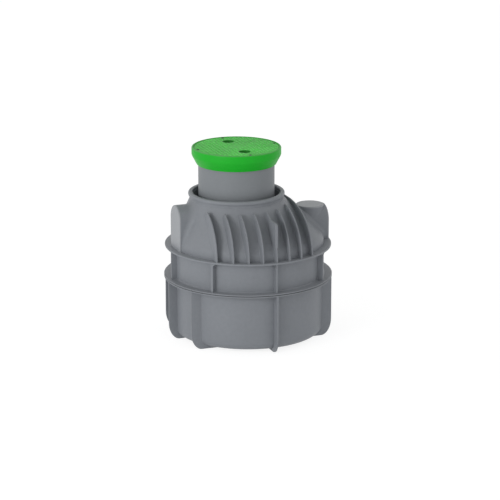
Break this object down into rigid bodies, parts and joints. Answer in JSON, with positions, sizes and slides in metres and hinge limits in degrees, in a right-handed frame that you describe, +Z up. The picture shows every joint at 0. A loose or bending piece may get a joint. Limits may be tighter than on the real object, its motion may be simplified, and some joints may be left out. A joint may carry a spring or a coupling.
{
  "type": "rainwater retention tank",
  "caption": "Buried rainwater retention tank with a ribbed dome, pipe bosses, telescopic riser and lift-off lid.",
  "frame": {"origin": "on the tank's axis at the ground, under the feet", "axes": "+Z up, +X towards the outlet boss, -X towards the inlet boss, -Y towards the ribbed front"},
  "size_m": [1.3358, 1.336, 1.525],
  "materials": {
    "tank_plastic": "satin grey moulded",
    "riser_plastic": "smooth grey",
    "lid_plastic": "satin green moulded",
    "seal_rubber": "matt black",
    "screw_steel": "blackened"
  },
  "bodies": {
    "tank": {"tub_floor": "tank_plastic", "tub_wall": "tank_plastic", "tub_flange": "tank_plastic", "flange_seal": "seal_rubber", "shell_flange": "tank_plastic", "shell_band": "tank_plastic", "stiffening_ring": "tank_plastic", "dome": "tank_plastic", "neck": "tank_plastic", "neck_lip": "tank_plastic", "seal_seat": "tank_plastic", "riser_seal": "seal_rubber", "inlet_boss": "tank_plastic", "inlet_face": "tank_plastic", "outlet_pad": "tank_plastic", "outlet_boss": "tank_plastic", "outlet_face": "tank_plastic", "front_lug": "tank_plastic", "front_ribs": "tank_plastic", "back_lug": "tank_plastic", "back_ribs": "tank_plastic", "runner_front": "tank_plastic", "runner_middle": "tank_plastic", "runner_back": "tank_plastic", "cross_fins": "tank_plastic", "band_fins": "tank_plastic", "pilasters": "tank_plastic"},
    "riser": {"riser_tube": "riser_plastic", "riser_rim": "riser_plastic"},
    "lid": {"lid_rim": "lid_plastic", "lid_plate": "lid_plastic", "lift_cups": "lid_plastic", "lid_screws": "screw_steel", "lid_seat": "lid_plastic", "lid_guide": "lid_plastic"}
  },
  "joints": [
    {"name": "riser_slide", "type": "slide", "parent": "tank", "child": "riser", "axis": [0, 0, 1], "range_m": [-0.18, 0.1]},
    {"name": "lid_lift", "type": "slide", "parent": "riser", "child": "lid", "axis": [0, 0, 1], "range_m": [0, 0.4]}
  ]
}
